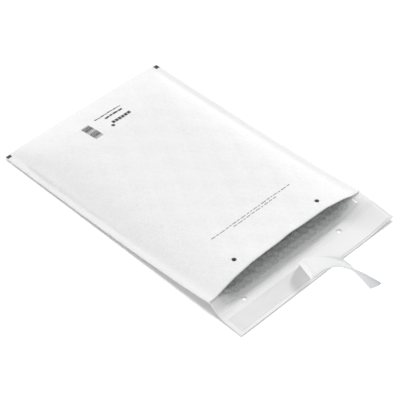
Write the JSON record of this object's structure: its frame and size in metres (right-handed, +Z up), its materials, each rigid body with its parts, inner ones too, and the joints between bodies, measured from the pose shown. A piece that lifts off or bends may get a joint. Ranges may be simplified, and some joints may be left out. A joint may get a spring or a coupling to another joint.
{
  "type": "padded envelope",
  "caption": "White kraft padded envelope lined with bubble film, lying open with its pocket arched, flap spread and release liner half peeled from the adhesive strip.",
  "frame": {"origin": "the table surface under the middle of the whole footprint, from the free end of the release liner to the closed end", "axes": "+X across the envelope, to the right when the mouth and flap are nearest, +Y from the flap to the closed end, +Z up, away from the table"},
  "size_m": [0.2496, 0.4648, 0.0299],
  "materials": {
    "kraft_paper": "bleached kraft paper, matt, smooth, with light print",
    "bubble_film": "clear polyethylene bubble film, glossy, seen against white paper",
    "adhesive": "clear pressure-sensitive adhesive, tacky and shiny",
    "release_film": "white translucent siliconised release film",
    "seam_glue": "cured hot-melt glue inside the side seams"
  },
  "bodies": {
    "root": {"outer_paper": "kraft_paper", "bubble_liner": "bubble_film", "adhesive_strip": "adhesive", "release_liner": "release_film", "seam_glue_left": "seam_glue", "seam_glue_right": "seam_glue"}
  },
  "joints": []
}
